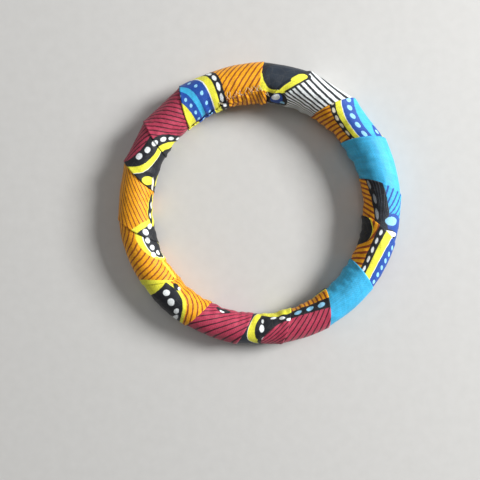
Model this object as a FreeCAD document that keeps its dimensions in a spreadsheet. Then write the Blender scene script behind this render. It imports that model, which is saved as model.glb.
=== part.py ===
import FreeCAD, Part
import math
import os

import Sketcher

# A closed round bangle: a plastic hose bent into a ring, plugged and taped at its butt joint, and
# wound edge over edge with one long strip of printed cotton. Millimetres, +Z up. The bangle lies
# flat, and the origin is on the surface under it, at the middle of its outline. Angles are degrees
# about +Z, counted from +X. Each turn of the strip is a solid of its own, from its own visible lap
# edge to the next turn's. The winding runs clockwise, so the lap angles fall from turn to turn.

DRIVING = {
    "ring_radius": 38.1,  # the circle along the middle of the hose
    "hose_radius": 3.5,  # 7 mm hose with a 5 mm bore
    "bore_radius": 2.5,
    "joint_gap_angle": 0.4,  # left open between the hose's two ends
    "joint_angle": 104.0,  # where the ends meet, under the strip's last turn
    "plug_radius": 2.45,
    "plug_angle": 34.0,
    "tape_thickness": 0.12,
    "tape_angle": 26.0,
    "wrap_radius": 5.3,  # mean outside radius of the wound cloth
    "swell": 0.56,  # how much thicker it is where the strip starts and ends
    "swell_angle": 78.0,
    "flap_clearance": 0.02,
    "flap_thickness": 0.3,
    "flap_middle_angle": 109.0,
    "flap_span_angle": 48.0,
    "flap_top_angle": 138.0,  # round the hose, from its outer side over the top
    "flap_foot_angle": 222.0,
    "block_reach": 45.0,  # half length of a trimming block along its lap edge
    "block_depth": 60.0,
    "block_height": 30.0,
    "sector_margin": 14.0,  # stock left past the lap edges before they are trimmed
}

# One pair for each turn, in winding order: where its lap edge crosses the middle circle, and how far
# the edge leans from the radial direction there. The strip was wound by hand, so they are uneven.
LAPS = (
    (89, -9),
    (75, -42),
    (52.5, -32),
    (31.7, -29),
    (8.6, -33),
    (-11.5, -34),
    (-33.3, -22),
    (-56.2, -32),
    (-77, -29),
    (-96.7, -24),
    (-119.3, -20),
    (-142.4, -29),
    (-169, -41),
    (-194.2, -32),
    (-213, -25),
    (-233.3, -25),
)
FULL_TURN = 360
SMALLEST_VOLUME = 1.0

document = FreeCAD.newDocument("Bangle")


def fill_sheet():
    """Puts the driving dimensions and the lap edges in a sheet, as plain numbers with aliases."""
    sheet = document.addObject("Spreadsheet::Sheet", "Sizes")
    cells = dict(DRIVING)
    for turn, (angle, lean) in enumerate(LAPS, start=1):
        cells[f"lap_angle_{turn:02d}"] = angle
        cells[f"lap_lean_{turn:02d}"] = lean
    last = len(LAPS) + 1
    cells[f"lap_angle_{last:02d}"] = LAPS[0][0] - FULL_TURN
    cells[f"lap_lean_{last:02d}"] = LAPS[0][1]
    for row, (alias, value) in enumerate(cells.items(), start=1):
        sheet.set(f"A{row}", alias)
        sheet.set(f"B{row}", str(value))
        sheet.setAlias(f"B{row}", alias)
    document.recompute()


def bind(thing, **expressions):
    """Ties a thing's properties to expressions over the sheet."""
    for name, expression in expressions.items():
        thing.setExpression(name, expression)


def turned(angle_expression, thing):
    """Turns a primitive about +Z by an angle from the sheet."""
    thing.Placement = FreeCAD.Placement(FreeCAD.Vector(), FreeCAD.Rotation(FreeCAD.Vector(0, 0, 1), 1))
    thing.setExpression(".Placement.Rotation.Angle", angle_expression)


def section_sketch(body, name):
    """A sketch in the plane of the ring's section: its x is the radius, its y is the height."""
    plane = next(f for f in body.Origin.OriginFeatures if f.Role == "XZ_Plane")
    sketch = body.newObject("Sketcher::SketchObject", name)
    sketch.AttachmentSupport = [(plane, "")]
    sketch.MapMode = "FlatFace"
    return sketch


def hose_circle(sketch, radius_expression):
    """A circle about the hose's middle line, with its radius from the sheet."""
    centre = FreeCAD.Vector(DRIVING["ring_radius"], 0, 0)
    circle = sketch.addGeometry(Part.Circle(centre, FreeCAD.Vector(0, 0, 1), DRIVING["hose_radius"]))
    sketch.addConstraint(Sketcher.Constraint("PointOnObject", circle, 3, -1))
    along = sketch.addConstraint(Sketcher.Constraint("DistanceX", -1, 1, circle, 3, centre.x))
    size = sketch.addConstraint(Sketcher.Constraint("Radius", circle, DRIVING["hose_radius"]))
    sketch.setExpression(f"Constraints[{along}]", "Sizes.ring_radius")
    sketch.setExpression(f"Constraints[{size}]", radius_expression)


def revolved(body, sketch, angle_expression):
    """Sweeps a section round the bangle's axis, half to each side of the section's plane."""
    sweep = body.newObject("PartDesign::Revolution", f"{body.Name}_sweep")
    sweep.Profile = sketch
    sweep.ReferenceAxis = (sketch, ["V_Axis"])
    sweep.Midplane = True
    bind(sweep, Angle=angle_expression)
    sketch.Visibility = False
    return sweep


def swept_body(name, radius_expressions, angle_expression):
    """A body made of circles about the hose's middle line, swept round the ring."""
    body = document.addObject("PartDesign::Body", name)
    body.Label = name
    sketch = section_sketch(body, f"{name}_section")
    for expression in radius_expressions:
        hose_circle(sketch, expression)
    revolved(body, sketch, angle_expression)
    return body


def arc_ends(sketch, arc, line, end, outer):
    """Joins one end of an arc to one end of a section line."""
    arc_end = 1 if end == "start" else 2
    sketch.addConstraint(Sketcher.Constraint("Coincident", arc, arc_end, line, 2 if outer else 1))


def flap_body(name):
    """The strip's glued end: a thin band on the inner wall, over the first and last turns."""
    body = document.addObject("PartDesign::Body", name)
    body.Label = name
    sketch = section_sketch(body, f"{name}_section")
    centre = FreeCAD.Vector(DRIVING["ring_radius"], 0, 0)
    inner = DRIVING["wrap_radius"] + DRIVING["swell"] + DRIVING["flap_clearance"]
    radii = (inner, inner + DRIVING["flap_thickness"])
    angles = [math.radians(DRIVING[key]) for key in ("flap_top_angle", "flap_foot_angle")]
    arcs = []
    for radius in radii:
        circle = Part.Circle(centre, FreeCAD.Vector(0, 0, 1), radius)
        arcs.append(sketch.addGeometry(Part.ArcOfCircle(circle, *angles)))
    lines = []
    for angle in angles:
        ray = FreeCAD.Vector(math.cos(angle), math.sin(angle), 0)
        ends = [centre + ray * radius for radius in radii]
        lines.append(sketch.addGeometry(Part.LineSegment(*ends)))
    for line, end in zip(lines, ("start", "end")):
        for arc, outer in zip(arcs, (False, True)):
            arc_ends(sketch, arc, line, end, outer)
        sketch.addConstraint(Sketcher.Constraint("PointOnObject", arcs[0], 3, line))
    sketch.addConstraint(Sketcher.Constraint("Coincident", arcs[0], 3, arcs[1], 3))
    sketch.addConstraint(Sketcher.Constraint("PointOnObject", arcs[0], 3, -1))
    inside = "Sizes.wrap_radius + Sizes.swell + Sizes.flap_clearance"
    bound = (
        (Sketcher.Constraint("DistanceX", -1, 1, arcs[0], 3, centre.x), "Sizes.ring_radius"),
        (Sketcher.Constraint("Radius", arcs[0], radii[0]), inside),
        (Sketcher.Constraint("Radius", arcs[1], radii[1]), f"{inside} + Sizes.flap_thickness"),
        (Sketcher.Constraint("Angle", lines[0], angles[0]), "Sizes.flap_top_angle"),
        (Sketcher.Constraint("Angle", lines[1], angles[1]), "Sizes.flap_foot_angle"),
    )
    for constraint, expression in bound:
        number = sketch.addConstraint(constraint)
        sketch.setExpression(f"Constraints[{number}]", expression)
    revolved(body, sketch, "Sizes.flap_span_angle")
    return body


def full_ring(name, radius_expression):
    """A whole ring of round section, which the turns are cut back from."""
    ring = document.addObject("Part::Torus", name)
    bind(ring, Radius1="Sizes.ring_radius", Radius2=radius_expression)
    return ring


def lap_block(turn):
    """A block whose long face is a turn's lap edge; it covers the clockwise side of the edge."""
    block = document.addObject("Part::Box", f"lap_block_{turn:02d}")
    bind(
        block,
        Length="2 * Sizes.block_reach",
        Width="Sizes.block_depth",
        Height="Sizes.block_height",
    )
    angle = f"Sizes.lap_angle_{turn:02d}"
    heading = f"({angle} + Sizes.lap_lean_{turn:02d})"
    turned(heading, block)
    places = {
        "x": f"Sizes.ring_radius * cos({angle}) - Sizes.block_reach * cos({heading})"
        f" + Sizes.block_depth * sin({heading})",
        "y": f"Sizes.ring_radius * sin({angle}) - Sizes.block_reach * sin({heading})"
        f" - Sizes.block_depth * cos({heading})",
        "z": "-Sizes.block_height / 2",
    }
    for axis, expression in places.items():
        block.setExpression(f".Placement.Base.{axis}", expression)
    return block


def cloth_turn(turn, own_block, next_block, bore):
    """One turn of the strip as a sleeve on the hose, trimmed at its lap edge and at the next one."""
    upper = f"Sizes.lap_angle_{turn:02d}"
    lower = f"Sizes.lap_angle_{turn + 1:02d}"
    stock = document.addObject("Part::Torus", f"stock_{turn:02d}")
    middle = f"(({upper} + {lower}) / 2)"
    bind(
        stock,
        Radius1="Sizes.ring_radius",
        Radius2=f"Sizes.wrap_radius + Sizes.swell * cos({middle} - Sizes.swell_angle)",
        Angle3=f"{upper} - {lower} + 2 * Sizes.sector_margin",
    )
    turned(f"{lower} - Sizes.sector_margin", stock)
    own_side = document.addObject("Part::Common", f"own_side_{turn:02d}")
    own_side.Base = stock
    own_side.Tool = own_block
    trimmed = document.addObject("Part::Cut", f"trimmed_{turn:02d}")
    trimmed.Base = own_side
    trimmed.Tool = next_block
    sleeve = document.addObject("Part::Cut", f"cloth_turn_{turn:02d}")
    sleeve.Label = sleeve.Name
    sleeve.Base = trimmed
    sleeve.Tool = bore
    return sleeve


def build_hose():
    """The hose, its plug and its tape, each with the hose joint on the section's far side."""
    joint = FreeCAD.Rotation(FreeCAD.Vector(0, 0, 1), DRIVING["joint_angle"])
    opposite = FreeCAD.Rotation(FreeCAD.Vector(0, 0, 1), DRIVING["joint_angle"] + FULL_TURN / 2)
    hose = swept_body(
        "core_tube",
        ("Sizes.hose_radius", "Sizes.bore_radius"),
        f"{FULL_TURN} - Sizes.joint_gap_angle",
    )
    plug = swept_body("joint_plug", ("Sizes.plug_radius",), "Sizes.plug_angle")
    tape = swept_body(
        "joint_tape",
        ("Sizes.hose_radius", "Sizes.hose_radius + Sizes.tape_thickness"),
        "Sizes.tape_angle",
    )
    return [(hose, opposite), (plug, joint), (tape, joint)]


def build_cloth():
    """The turns of the strip and its glued end."""
    bore = full_ring("wrap_bore", "Sizes.hose_radius + Sizes.tape_thickness")
    blocks = [lap_block(turn) for turn in range(1, len(LAPS) + 2)]
    turns = [
        cloth_turn(turn, blocks[turn - 1], blocks[turn], bore) for turn in range(1, len(LAPS) + 1)
    ]
    as_built = FreeCAD.Rotation()
    flap_turn = FreeCAD.Rotation(FreeCAD.Vector(0, 0, 1), DRIVING["flap_middle_angle"])
    return [(turn, as_built) for turn in turns] + [(flap_body("cloth_end_flap"), flap_turn)]


def lie_down(pieces):
    """Leans the ring so that its thin side touches the surface too, and centres it on the origin."""
    towards = math.radians(DRIVING["swell_angle"])
    axis = FreeCAD.Vector(math.sin(towards), -math.cos(towards), 0)
    lean = FreeCAD.Rotation(axis, math.degrees(math.atan2(DRIVING["swell"], DRIVING["ring_radius"])))
    for piece, rotation in pieces:
        piece.Placement = FreeCAD.Placement(FreeCAD.Vector(), lean.multiply(rotation))
    document.recompute()
    box = FreeCAD.BoundBox()
    for piece, _ in pieces:
        box.add(piece.Shape.optimalBoundingBox(False))
    shift = FreeCAD.Vector(-box.Center.x, -box.Center.y, -box.ZMin)
    for piece, rotation in pieces:
        piece.Placement = FreeCAD.Placement(shift, lean.multiply(rotation))


def check_and_export(pieces):
    """Stops on any failed object or bad solid, then writes each piece to its own STEP file."""
    document.recompute()
    failed = [o.Name for o in document.Objects if {"Invalid", "Error"} & set(o.State)]
    if failed:
        raise RuntimeError(f"failed to recompute: {failed}")
    for piece, _ in pieces:
        shape = piece.Shape
        if shape.isNull() or not shape.isValid() or len(shape.Solids) != 1:
            raise RuntimeError(f"{piece.Label} isn't one valid solid")
        if shape.Volume < SMALLEST_VOLUME:
            raise RuntimeError(f"{piece.Label} is nearly empty")
    os.makedirs("parts", exist_ok=True)
    for piece, _ in pieces:
        piece.Shape.exportStep(os.path.join("parts", f"{piece.Label}.step"))
        print(f"{piece.Label}: {piece.Shape.Volume:.1f} mm3")


fill_sheet()
all_pieces = build_hose() + build_cloth()
lie_down(all_pieces)
check_and_export(all_pieces)
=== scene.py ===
import logging
import math
from dataclasses import dataclass, field
from enum import Enum

import bpy
import numpy as np
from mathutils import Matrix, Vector, noise


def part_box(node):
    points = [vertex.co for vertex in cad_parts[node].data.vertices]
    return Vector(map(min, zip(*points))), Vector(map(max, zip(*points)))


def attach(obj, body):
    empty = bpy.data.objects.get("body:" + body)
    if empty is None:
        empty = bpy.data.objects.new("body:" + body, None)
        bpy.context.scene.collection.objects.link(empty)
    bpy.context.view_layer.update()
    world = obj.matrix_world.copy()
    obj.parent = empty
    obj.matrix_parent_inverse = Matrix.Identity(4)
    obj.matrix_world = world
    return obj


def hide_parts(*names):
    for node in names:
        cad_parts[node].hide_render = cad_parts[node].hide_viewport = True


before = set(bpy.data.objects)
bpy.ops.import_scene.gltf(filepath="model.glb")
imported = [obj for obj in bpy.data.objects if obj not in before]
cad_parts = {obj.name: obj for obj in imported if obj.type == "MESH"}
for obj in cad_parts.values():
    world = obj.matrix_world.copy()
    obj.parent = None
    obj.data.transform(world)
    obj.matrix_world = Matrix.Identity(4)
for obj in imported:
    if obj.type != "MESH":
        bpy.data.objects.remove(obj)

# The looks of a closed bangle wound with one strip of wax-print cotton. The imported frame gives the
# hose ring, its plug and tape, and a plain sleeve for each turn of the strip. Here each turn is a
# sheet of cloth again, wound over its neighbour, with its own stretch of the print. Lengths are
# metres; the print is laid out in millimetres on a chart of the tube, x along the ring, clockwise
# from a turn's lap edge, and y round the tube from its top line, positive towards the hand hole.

log = logging.getLogger("bangle")

MM = 0.001
TURN_COUNT = 16
BODY = "root"
UV_CHART = "print_chart"

Colour = tuple[float, float, float, float]
Place = tuple[float, float]


def linear(red: int, green: int, blue: int) -> Colour:
    """Turns a display colour of 0 to 255 into a linear RGBA colour.

    Args:
        red, green, blue: the display colour.

    Returns:
        The linear colour with an alpha of 1.
    """
    knee, slope, lift, power = 0.04045, 12.92, 0.055, 2.4
    shares = (red / 255, green / 255, blue / 255)
    made = [s / slope if s <= knee else ((s + lift) / (1 + lift)) ** power for s in shares]
    return (made[0], made[1], made[2], 1.0)


class Ink(Enum):
    """The print's inks on the cotton; the last two colours are painted shade, white and pale cyan
    dimmed where they lie in shadow.
    """

    ORANGE = linear(248, 170, 14)
    BROWN = linear(146, 66, 18)
    YELLOW = linear(238, 234, 66)
    BLACK = linear(22, 26, 34)
    CHARCOAL = linear(30, 40, 52)
    WHITE = linear(242, 248, 250)
    CREAM = linear(238, 232, 210)
    BLUE = linear(24, 74, 164)
    NAVY = linear(18, 30, 86)
    PALE_BLUE = linear(150, 214, 250)
    CYAN = linear(58, 178, 226)
    CRIMSON = linear(184, 58, 86)
    MAROON = linear(74, 16, 36)
    # painted shade: white dimmed to grey, for white dots lying in shadow
    WHITE_IN_PAINTED_SHADE = linear(150, 156, 162)
    # painted shade: pale cyan dimmed to slate, for cyan lines lying in shadow
    CYAN_LINE_IN_PAINTED_SHADE = linear(74, 84, 96)


# ---------------------------------------------------------------------------------------------
# Node groups that the finishes share
# ---------------------------------------------------------------------------------------------


def feed(tree: bpy.types.NodeTree, source: object, target: object) -> None:
    """Joins an output to an input, or sets the input to a plain value."""
    if isinstance(source, bpy.types.NodeSocket):
        tree.links.new(source, target)
    else:
        target.default_value = source


def mixed(tree: bpy.types.NodeTree, share: object, ground: object, ink: object) -> object:
    """A ground colour with a share of an ink mixed over it."""
    mix = tree.nodes.new("ShaderNodeMix")
    mix.data_type = "RGBA"
    for label, source in (("Factor", share), ("A", ground), ("B", ink)):
        feed(tree, source, mix.inputs[label])
    return mix.outputs["Result"]


class GroupSketch:
    """A shader node group under construction, with short calls for its nodes."""

    def __init__(self, name: str, inputs: dict[str, str | float], outputs: dict[str, str]):
        """Makes the group and its sockets.

        Args:
            name: the group's name.
            inputs: socket name to its kind ("Vector" or "Color"), or to a number's default.
            outputs: socket name to its kind.
        """
        self.tree = bpy.data.node_groups.new(name, "ShaderNodeTree")
        for label, given in inputs.items():
            kind = given if isinstance(given, str) else "Float"
            socket = self.socket(label, "INPUT", kind)
            if kind == "Float":
                socket.default_value = given
        for label, kind in outputs.items():
            self.socket(label, "OUTPUT", kind)
        self.given = self.tree.nodes.new("NodeGroupInput").outputs
        self.result = self.tree.nodes.new("NodeGroupOutput").inputs

    def socket(self, label: str, side: str, kind: str) -> object:
        """Adds a socket to the group."""
        return self.tree.interface.new_socket(label, in_out=side, socket_type=f"NodeSocket{kind}")

    def link(self, source: object, target: object) -> None:
        """Joins an output to an input, or sets the input to a plain value."""
        feed(self.tree, source, target)

    def math(self, operation: str, *values: object, clamp: bool = False) -> object:
        """A Math node's result."""
        node = self.tree.nodes.new("ShaderNodeMath")
        node.operation = operation
        node.use_clamp = clamp
        for value, socket in zip(values, node.inputs):
            self.link(value, socket)
        return node.outputs[0]

    def vector(self, operation: str, *values: object) -> object:
        """A Vector Math node's result: the number for LENGTH, else the vector."""
        node = self.tree.nodes.new("ShaderNodeVectorMath")
        node.operation = operation
        for value, socket in zip(values, node.inputs):
            self.link(value, socket)
        return node.outputs["Value" if operation == "LENGTH" else "Vector"]

    def split(self, vector: object) -> tuple[object, object]:
        """The x and y of a vector."""
        node = self.tree.nodes.new("ShaderNodeSeparateXYZ")
        self.link(vector, node.inputs[0])
        return node.outputs[0], node.outputs[1]

    def turned(self, vector: object, angle: object) -> object:
        """A vector turned back by an angle about Z."""
        node = self.tree.nodes.new("ShaderNodeVectorRotate")
        node.rotation_type = "Z_AXIS"
        self.link(vector, node.inputs["Vector"])
        self.link(self.math("MULTIPLY", angle, -1.0), node.inputs["Angle"])
        return node.outputs[0]

    def scaled(self, vector: object, amount: object) -> object:
        """A vector times a number."""
        node = self.tree.nodes.new("ShaderNodeVectorMath")
        node.operation = "SCALE"
        self.link(vector, node.inputs[0])
        self.link(amount, node.inputs["Scale"])
        return node.outputs[0]

    def noise(self, vector: object, scale: object, detail: float = 2.0) -> object:
        """A Noise Texture node, to read Fac or Color from."""
        node = self.tree.nodes.new("ShaderNodeTexNoise")
        self.link(vector, node.inputs["Vector"])
        self.link(scale, node.inputs["Scale"])
        node.inputs["Detail"].default_value = detail
        return node

    def offset(self) -> object:
        """Where the point is from the motif's middle."""
        return self.vector("SUBTRACT", self.given["Position"], self.given["Middle"])

    def edge(self, inside_by: object) -> object:
        """A mask from how far inside an outline a point is: 1 inside, 0 outside, Soft between."""
        share = self.math("DIVIDE", inside_by, self.given["Soft"])
        return self.math("ADD", share, 0.5, clamp=True)

    def oval(self, along: object, across: object) -> object:
        """A mask of the ellipse that Half Length and Half Width give."""
        long_share = self.math("POWER", self.math("DIVIDE", along, self.given["Half Length"]), 2.0)
        wide_share = self.math("POWER", self.math("DIVIDE", across, self.given["Half Width"]), 2.0)
        reach = self.math("SQRT", self.math("ADD", long_share, wide_share))
        inside = self.math("MULTIPLY", self.math("SUBTRACT", 1.0, reach), self.given["Half Width"])
        return self.edge(inside)

    def lines(self, phase: object, pitch: object) -> object:
        """A mask of lines where the phase passes whole numbers, Share of the pitch wide."""
        from_line = self.math("ABSOLUTE", self.math("SUBTRACT", self.math("FRACT", phase), 0.5))
        half_share = self.math("MULTIPLY", self.given["Share"], 0.5)
        return self.edge(self.math("MULTIPLY", self.math("SUBTRACT", half_share, from_line), pitch))


def motif_group(name: str, **numbers: float) -> GroupSketch:
    """Starts a motif's group: a mask from a position, with its own numbers as further inputs."""
    inputs = {label.replace("_", " "): value for label, value in numbers.items()}
    places = {"Position": "Vector", "Middle": "Vector"}
    return GroupSketch(f"print_{name}", {**places, **inputs, "Soft": 0.1}, {"Mask": "Float"})


def disc_group() -> bpy.types.NodeTree:
    """Masks an ellipse: Half Length along its turned x, Half Width across it."""
    g = motif_group("disc", Half_Length=1, Half_Width=1, Turn=0)
    x, y = g.split(g.turned(g.offset(), g.given["Turn"]))
    g.link(g.oval(x, y), g.result["Mask"])
    return g.tree


def dots_group() -> bpy.types.NodeTree:
    """Masks a row of oval dots along an arc, numbered by their steps from the start angle."""
    g = motif_group(
        "dots", Radius=10, Step=0.1, Start=0, First=0, Last=9, Half_Length=1, Half_Width=1
    )
    offset = g.offset()
    x, y = g.split(offset)
    beyond_start = g.math("SUBTRACT", g.math("ARCTAN2", y, x), g.given["Start"])
    steps = g.math("DIVIDE", beyond_start, g.given["Step"])
    number = g.math("ROUND", steps)
    along = g.math("MULTIPLY", g.math("SUBTRACT", steps, number), g.given["Step"])
    along = g.math("MULTIPLY", along, g.given["Radius"])
    beside = g.math("SUBTRACT", g.vector("LENGTH", offset), g.given["Radius"])
    not_before = g.math("GREATER_THAN", number, g.math("SUBTRACT", g.given["First"], 0.5))
    not_after = g.math("LESS_THAN", number, g.math("ADD", g.given["Last"], 0.5))
    kept = g.math("MULTIPLY", not_before, not_after)
    g.link(g.math("MULTIPLY", g.oval(along, beside), kept), g.result["Mask"])
    return g.tree


def stripes_group() -> bpy.types.NodeTree:
    """Masks parallel lines across the turned x, bowed by Bend from Middle on."""
    g = motif_group("stripes", Turn=0, Pitch=1, Share=0.3, Bend=0)
    x, y = g.split(g.turned(g.offset(), g.given["Turn"]))
    bow = g.math("MULTIPLY", g.math("POWER", y, 2.0), g.given["Bend"])
    phase = g.math("DIVIDE", g.math("ADD", x, bow), g.given["Pitch"])
    g.link(g.lines(phase, g.given["Pitch"]), g.result["Mask"])
    return g.tree


def fan_group() -> bpy.types.NodeTree:
    """Masks lines that fan out from a middle, curled by Swirl."""
    g = motif_group("fan", Step=0.1, Share=0.3, Swirl=0)
    offset = g.offset()
    x, y = g.split(offset)
    far = g.vector("LENGTH", offset)
    angle = g.math("ADD", g.math("ARCTAN2", y, x), g.math("MULTIPLY", far, g.given["Swirl"]))
    phase = g.math("DIVIDE", angle, g.given["Step"])
    g.link(g.lines(phase, g.math("MULTIPLY", far, g.given["Step"])), g.result["Mask"])
    return g.tree


def arcs_group() -> bpy.types.NodeTree:
    """Masks concentric lines, one of them at Radius; Squeeze sets them closer further out."""
    g = motif_group("arcs", Radius=10, Pitch=1, Share=0.3, Squeeze=0)
    beyond = g.math("SUBTRACT", g.vector("LENGTH", g.offset()), g.given["Radius"])
    closer = g.math("ADD", 1.0, g.math("MULTIPLY", beyond, g.given["Squeeze"]))
    phase = g.math("DIVIDE", g.math("MULTIPLY", beyond, closer), g.given["Pitch"])
    g.link(g.lines(phase, g.given["Pitch"]), g.result["Mask"])
    return g.tree


def wobble_group() -> bpy.types.NodeTree:
    """Shifts the print a little and unevenly, as ink spreads in hand-printed cotton."""
    g = GroupSketch(
        "print_wobble",
        {"Position": "Vector", "Seed": 0, "Amount": 0.3, "Scale": 0.9},
        {"Position": "Vector"},
    )
    drift = g.noise(g.vector("ADD", g.given["Position"], g.given["Seed"]), g.given["Scale"])
    centred = g.vector("SUBTRACT", drift.outputs["Color"], (0.5, 0.5, 0.5))
    shift = g.scaled(centred, g.given["Amount"])
    g.link(g.vector("ADD", g.given["Position"], shift), g.result["Position"])
    return g.tree


def cloth_group() -> bpy.types.NodeTree:
    """Turns a flat print into woven cotton: thread relief, uneven ink and fine crackle."""
    g = GroupSketch(
        "woven_cotton",
        {
            "Position": "Vector", "Print": "Color",
            "Thread": 0.33, "Fade": 0.2, "Crackle": 0.2, "Seed": 0,
        },
        {"Color": "Color", "Height": "Float", "Roughness": "Float"},
    )
    streak_across, streak_along, crack_size, crack_thinness = 2.6, 0.22, 0.45, 26.0
    seeded = g.vector("ADD", g.given["Position"], g.given["Seed"])
    slub = g.noise(seeded, 1.4, 3.0)
    x, y = g.split(g.given["Position"])
    sway = g.math("MULTIPLY", slub.outputs["Fac"], 0.35)
    turn = g.math("DIVIDE", math.pi, g.given["Thread"])
    warp = g.math("SINE", g.math("MULTIPLY", g.math("ADD", x, sway), turn))
    weft = g.math("SINE", g.math("MULTIPLY", g.math("SUBTRACT", y, sway), turn))
    weave = g.math("ADD", g.math("MULTIPLY", g.math("MULTIPLY", warp, weft), 0.5), 0.5)
    warp_streak = g.noise(g.vector("MULTIPLY", seeded, (streak_across, streak_along, 1.0)), 1.0)
    weft_streak = g.noise(g.vector("MULTIPLY", seeded, (streak_along, streak_across, 1.0)), 1.0)
    streak = g.math("ADD", warp_streak.outputs["Fac"], weft_streak.outputs["Fac"])
    cloud = g.noise(seeded, 0.35, 4.0)
    fade = g.math("MULTIPLY", g.math("SUBTRACT", cloud.outputs["Fac"], 0.5), g.given["Fade"])
    fleck = g.math("MULTIPLY", g.math("SUBTRACT", streak, 1.0), 0.5)
    thread_tone = g.math("MULTIPLY", g.math("SUBTRACT", weave, 0.5), 0.16)
    tone = g.math("ADD", g.math("ADD", 1.0, fade), g.math("ADD", fleck, thread_tone))
    cracks = g.tree.nodes.new("ShaderNodeTexVoronoi")
    cracks.feature = "DISTANCE_TO_EDGE"
    g.link(seeded, cracks.inputs["Vector"])
    cracks.inputs["Scale"].default_value = crack_size
    apart = g.math("MULTIPLY", cracks.outputs["Distance"], crack_thinness, clamp=True)
    thin = g.math("MULTIPLY", g.math("SUBTRACT", 1.0, apart), cloud.outputs["Fac"])
    thin = g.math("MULTIPLY", thin, g.given["Crackle"])
    toned = g.scaled(g.given["Print"], tone)
    g.link(mixed(g.tree, thin, toned, Ink.CREAM.value), g.result["Color"])
    g.link(weave, g.result["Height"])
    g.link(g.math("ADD", 0.5, g.math("MULTIPLY", slub.outputs["Fac"], 0.24)), g.result["Roughness"])
    return g.tree


GROUPS = {
    "disc": disc_group, "dots": dots_group, "stripes": stripes_group, "fan": fan_group,
    "arcs": arcs_group, "wobble": wobble_group, "cloth": cloth_group,
}


class PrintShop:
    """The node groups that every finish takes its effects from, each built once."""

    def __init__(self) -> None:
        """Builds the groups."""
        self.groups = {kind: build() for kind, build in GROUPS.items()}

    def place(self, tree: bpy.types.NodeTree, kind: str, **values: object) -> object:
        """Places a group in a material with its own values.

        Args:
            tree: the material's nodes.
            kind: which group.
            values: an input's name, with _ for a space, to a socket or a plain value.

        Returns:
            The group node.
        """
        node = tree.nodes.new("ShaderNodeGroup")
        node.node_tree = self.groups[kind]
        for label, value in values.items():
            feed(tree, value, node.inputs[label.replace("_", " ")])
        return node


# ---------------------------------------------------------------------------------------------
# The print's motifs, in millimetres on the chart
# ---------------------------------------------------------------------------------------------

CRISP = 0.14
Masks = list[tuple[object, Ink]]


class Motif:
    """A printed shape: it says which group masks it, and with what numbers."""

    kind = ""

    def numbers(self) -> dict[str, float]:
        """The group's inputs."""
        return {}

    def masks(self, shop: PrintShop, tree: bpy.types.NodeTree, spot: object) -> Masks:
        """Places the motif in a material.

        Args:
            shop: the shared node groups.
            tree: the material's nodes.
            spot: the socket of the place on the chart.

        Returns:
            A mask socket and its ink for each layer, the lowest first.
        """
        middle = (*self.at, 0)
        made = shop.place(tree, self.kind, Position=spot, Middle=middle, Soft=CRISP, **self.numbers())
        return [(made.outputs["Mask"], self.ink)]


@dataclass(frozen=True)
class Disc(Motif):
    """A filled ellipse of one ink."""

    ink: Ink
    at: Place
    half_length: float
    half_width: float
    turn: float = 0.0

    kind = "disc"

    def numbers(self) -> dict[str, float]:
        """The group's inputs."""
        turn = math.radians(self.turn)
        return {"Half_Length": self.half_length, "Half_Width": self.half_width, "Turn": turn}


@dataclass(frozen=True)
class Rings(Motif):
    """Nested discs about one middle, the widest first, which leave bands between them."""

    at: Place
    steps: tuple[tuple[float, Ink], ...]

    def masks(self, shop: PrintShop, tree: bpy.types.NodeTree, spot: object) -> Masks:
        """Each disc's mask and ink."""
        made = []
        for radius, ink in self.steps:
            made += Disc(ink, self.at, radius, radius).masks(shop, tree, spot)
        return made


@dataclass(frozen=True)
class Spots(Motif):
    """Loose oval dots of one ink, each at its own place."""

    ink: Ink
    places: tuple[Place, ...]
    half_length: float = 0.9
    half_width: float = 0.65
    turn: float = 0.0

    def masks(self, shop: PrintShop, tree: bpy.types.NodeTree, spot: object) -> Masks:
        """Each dot's mask and ink."""
        made = []
        for place in self.places:
            dot = Disc(self.ink, place, self.half_length, self.half_width, self.turn)
            made += dot.masks(shop, tree, spot)
        return made


@dataclass(frozen=True)
class DotRow(Motif):
    """A row of oval dots along an arc; start and step are degrees about the middle."""

    ink: Ink
    at: Place
    radius: float
    start: float
    step: float
    last: int
    half_length: float = 0.85
    half_width: float = 0.65
    first: int = 0

    kind = "dots"

    def numbers(self) -> dict[str, float]:
        """The group's inputs."""
        return {
            "Radius": self.radius,
            "Step": math.radians(self.step),
            "Start": math.radians(self.start),
            "First": self.first,
            "Last": self.last,
            "Half_Length": self.half_length,
            "Half_Width": self.half_width,
        }


@dataclass(frozen=True)
class Stripes(Motif):
    """Parallel lines of one ink; turn is the angle of their normal from x, in degrees."""

    ink: Ink
    turn: float
    pitch: float
    share: float = 0.3
    bend: float = 0.0
    at: Place = (0.0, 0.0)

    kind = "stripes"

    def numbers(self) -> dict[str, float]:
        """The group's inputs."""
        turn = math.radians(self.turn)
        return {"Turn": turn, "Pitch": self.pitch, "Share": self.share, "Bend": self.bend}


@dataclass(frozen=True)
class Arcs(Motif):
    """Concentric lines of one ink, closer together further out by squeeze."""

    ink: Ink
    at: Place
    radius: float
    pitch: float
    share: float = 0.3
    squeeze: float = 0.0

    kind = "arcs"

    def numbers(self) -> dict[str, float]:
        """The group's inputs."""
        return {
            "Radius": self.radius, "Pitch": self.pitch, "Share": self.share, "Squeeze": self.squeeze,
        }


@dataclass(frozen=True)
class Fan(Motif):
    """Lines of one ink that fan out from a middle, step degrees apart."""

    ink: Ink
    at: Place
    step: float
    share: float = 0.3
    swirl: float = 0.0

    kind = "fan"

    def numbers(self) -> dict[str, float]:
        """The group's inputs."""
        return {"Step": math.radians(self.step), "Share": self.share, "Swirl": self.swirl}


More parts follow.
